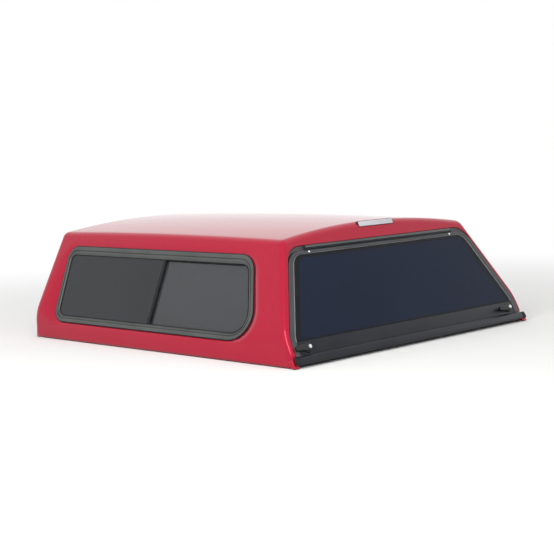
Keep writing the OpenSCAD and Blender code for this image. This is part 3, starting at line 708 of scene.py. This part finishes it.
newPiece("bottomRail", railLength(-rail["half"], rail["half"], railLoop(), 0.0006), [blackMetal], "rear_door",
         ["bottom_rail"])
for side, hand in ((-1, "left"), (1, "right")):
    softened(hand + "_end_cap", hand + "EndCap", rubber, "rear_door", 0.0025, 30)

sealProfile = [(0.0, 0.0), (0.0006, 0.0032), (0.004, 0.0050), (0.010, 0.0053), (0.016, 0.0050), (0.0205, 0.0032),
               (0.0215, 0.0)]


def sealLine(inset):
    return bothSides(openingHalf(door["strip"] + door["gap"] + inset, door["railTop"],
                                 door["top"] - door["edge"] + 0.001 + inset))


newPiece("doorSeal", openSweep([(e, out + door["jambFace"]) for e, out in sealProfile], sealLine, onRear), [rubber],
         "canopy", ["door_seal"])
bolt = {"x": 0.524, "up": 0.5225, "radius": 0.0062, "high": 0.0032}


def buttonBolt(side):
    r, h = bolt["radius"], bolt["high"]
    bm = turnedSolid([(0.0, -0.0015), (r, -0.0015), (r, 0.0004), (r * 0.93, h * 0.45), (r * 0.72, h * 0.8), (r * 0.42, h),
                      (r * 0.30, h), (r * 0.30, h * 0.4), (0.0, h * 0.4)], 32)
    return placeAll(bm, lambda x, up, out: onRear(side * bolt["x"] + x, bolt["up"] + up, door["proud"] + out))


for side, hand in ((-1, "left"), (1, "right")):
    newPiece(hand + "StudBolt", buttonBolt(side), [chrome], "rear_door")
softened("hinge_rail", "hingeRail", anodised, "canopy", 0.0004, 50)
softened("door_hinge_leaf", "hingeLeaf", blackMetal, "rear_door", 0.0004, 50)

print("handles")
handle = {"x": 0.755, "up": 0.0875, "base": -0.002, "baseRadius": 0.024, "baseHigh": 0.009, "lever": 0.0073,
          "leverThick": 0.011, "length": 0.084, "half": 0.016, "lock": 0.009}


def leverMesh():
    h = handle
    loop = roundedLoop([(h["half"], h["half"]), (0.008 - h["length"], 0.012), (-h["length"], 0.004),
                        (-h["length"], -0.010), (h["half"], -h["half"])], [0.015, 0.008, 0.003, 0.006, 0.015], 8)
    bm = plate(loop, h["leverThick"], h["leverThick"], None)
    return softenEdges(bm, 0.0030, 4, 50)


for side, hand in ((-1, "left"), (1, "right")):
    def atHandle(x, up, out, side=side, lift=0.0):
        return onRear(side * handle["x"] + x, handle["up"] + up, handle["base"] + out)

    h = handle
    plinth = turnedSolid([(0.0, 0.0), (h["baseRadius"], 0.0), (h["baseRadius"], 0.0022), (h["baseRadius"] - 0.0012, 0.0042),
                          (h["baseRadius"] - 0.0036, 0.0078), (h["baseRadius"] - 0.0052, h["baseHigh"]),
                          (0.0, h["baseHigh"])])
    newPiece(hand + "HandleBase", placeAll(plinth, atHandle), [handleBlack], "rear_door",
             [hand + "_handle_base"])
    lever = leverMesh()
    bmesh.ops.translate(lever, vec=(0, 0, h["baseHigh"] + 0.0003), verts=lever.verts)
    newPiece(hand + "Lever", placeAll(lever, atHandle), [handleBlack], hand + "_handle", [hand + "_lever"])
    z = h["baseHigh"] + 0.0053
    lock = turnedSolid([(0.0, z), (h["lock"], z), (h["lock"], z + 0.0072), (h["lock"] - 0.0008, z + 0.0084),
                        (h["lock"] - 0.0020, z + 0.0088), (h["lock"] - 0.0026, z + 0.0080), (0.0, z + 0.0080)])
    newPiece(hand + "LockCylinder", placeAll(lock, atHandle), [chrome], hand + "_handle",
             [hand + "_lock_cylinder"])
    softened(hand + "_latch_cam", hand + "LatchCam", zinc, hand + "_handle")

print("struts")
for hand in ("left", "right"):
    softened(hand + "_strut_bracket", hand + "StrutBracket", zinc, "canopy", 0.0005, 50)
    softened(hand + "_strut_stud", hand + "StrutStud", zinc, "rear_door", 0.0005, 50)
    softened(hand + "_strut_tube", hand + "StrutTube", tubeBlack, hand + "_strut_tube", 0.0008, 50)
    softened(hand + "_strut_rod", hand + "StrutRod", chrome, hand + "_strut_rod", 0.0005, 50)

print("brake light")
brake = {"half": 0.1276, "low": 0.6126, "high": 0.0294, "radius": 0.003, "bezel": 0.0022, "out": 0.0032,
         "step": 0.0012, "deep": 0.0054}


def brakePlate(inset, out, width, steps):
    x, low, high = brake["half"] - inset, brake["low"] + inset, brake["low"] + brake["high"] - inset
    loop = roundedLoop([(-x, low), (x, low), (x, high), (-x, high)], [brake["radius"]] * 4, 5)
    return placeAll(softenEdges(plate(loop, out, out + brake["deep"], None), width, steps, 60), onRear)


newPiece("brakeBezel", brakePlate(0, brake["out"] - brake["step"], 0.0004, 1), [rubber], "canopy")
newPiece("brakeLens", brakePlate(brake["bezel"], brake["out"], 0.0009, 3), [lensClear], "canopy",
         ["brake_light_lens"])
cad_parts["brake_light_housing"].data.materials.clear()
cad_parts["brake_light_housing"].data.materials.append(blackMetal)
for node in ("left_gasket", "right_gasket", "front_gasket"):
    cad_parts[node].data.materials.clear()
    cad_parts[node].data.materials.append(rubber)

print("stage")
studio = {"floor": (0.80, 0.80, 0.79), "size": 30, "lens": 88, "sensor": 36, "world": 0.42, "fadeFrom": 1.2, "fadeTo": 4.5}
eye = Vector((-5.0, -4.8814, 0.991))
aim = Vector((0.0, 0.0, 0.27))


def floorMaterial():
    # Pale and matt near the canopy, and fading to plain white where the eye sees it further off
    material, tree, shader = newTree("paleFloor")
    shader.inputs["Base Color"].default_value = (*studio["floor"], 1)
    shader.inputs["Roughness"].default_value = 0.8
    place = addNode(tree, "TexCoord").outputs["Object"]
    distance = addNode(tree, "VectorMath", [(0, place)], operation="LENGTH")
    fade = addNode(tree, "MapRange", [("Value", distance.outputs["Value"]), ("From Min", studio["fadeFrom"]),
                                      ("From Max", studio["fadeTo"])], interpolation_type="SMOOTHSTEP")
    rays = addNode(tree, "LightPath").outputs
    seen = addNode(tree, "Math", [(0, rays["Is Camera Ray"]), (1, rays["Is Glossy Ray"])], operation="MAXIMUM")
    share = addNode(tree, "Math", [(0, fade.outputs[0]), (1, seen.outputs[0])], operation="MULTIPLY")
    glow = addNode(tree, "Emission", [("Color", (1, 1, 1, 1)), ("Strength", 1.0)])
    mixed = addNode(tree, "MixShader", [("Fac", share.outputs[0]), (1, shader.outputs[0]), (2, glow.outputs[0])])
    output = next(n for n in tree.nodes if n.type == "OUTPUT_MATERIAL")
    tree.links.new(mixed.outputs[0], output.inputs["Surface"])
    return material


ground = bmesh.new()
bmesh.ops.create_grid(ground, x_segments=1, y_segments=1, size=studio["size"])
floorMesh = bpy.data.meshes.new("floor")
ground.to_mesh(floorMesh)
ground.free()
floor = bpy.data.objects.new("floor", floorMesh)
floorMesh.materials.append(floorMaterial())
scene.collection.objects.link(floor)


def softLight(name, place, target, size, power, tall=0, colour=(1, 1, 1)):
    # A tall one also shows as a streak in the paint
    lamp = bpy.data.lights.new(name, "AREA")
    lamp.shape, lamp.size, lamp.size_y = "RECTANGLE", size, tall or size
    lamp.energy, lamp.color = power, colour
    holder = bpy.data.objects.new(name, lamp)
    holder.location = place
    holder.rotation_euler = (Vector(target) - Vector(place)).to_track_quat("-Z", "Y").to_euler()
    holder.visible_glossy = tall > 0
    holder.visible_transmission = False
    scene.collection.objects.link(holder)


softLight("keyLight", (-5.0, -1.2, 3.6), (0, 0, 0.2), 3.0, 190)
softLight("rearLight", (1.5, -6.0, 4.0), (0, -0.5, 0.2), 4.0, 40)
softLight("topLight", (0.5, 1.5, 6.0), (0, 0, 0.2), 5.0, 120)
softLight("cornerStrip", (-3.9, -4.5, 3.6), (-0.8, -0.9, 0.3), 2.2, 170, tall=4.5)

world = bpy.data.worlds.new("studio")
scene.world = world
world.use_nodes = True
sky = world.node_tree
sky.nodes.clear()
path = addNode(sky, "LightPath")
seen = addNode(sky, "Math", [(0, path.outputs["Is Camera Ray"]), (1, path.outputs["Is Glossy Ray"])],
               operation="MAXIMUM")
seenToo = addNode(sky, "Math", [(0, seen.outputs[0]), (1, path.outputs["Is Transmission Ray"])], operation="MAXIMUM")
strength = addNode(sky, "MapRange", [("Value", seenToo.outputs[0]), ("To Min", studio["world"]), ("To Max", 1.0)])
background = addNode(sky, "Background", [("Color", (1, 1, 1, 1)), ("Strength", strength.outputs[0])])
skyOut = addNode(sky, "OutputWorld", [("Surface", background.outputs[0])])

camera = bpy.data.cameras.new("camera")
camera.lens, camera.sensor_width = studio["lens"], studio["sensor"]
cameraObject = bpy.data.objects.new("camera", camera)
ahead = (aim - eye).normalized()
across = ahead.cross(Vector((0, 0, 1))).normalized()
upward = across.cross(ahead)
roll = radians(-2.05)
right = across * cos(roll) + upward * sin(roll)
upTurned = upward * cos(roll) - across * sin(roll)
cameraObject.matrix_world = Matrix((right, upTurned, -ahead)).transposed().to_4x4()
cameraObject.location = eye
scene.collection.objects.link(cameraObject)
scene.camera = cameraObject
scene.view_settings.view_transform = "Standard"
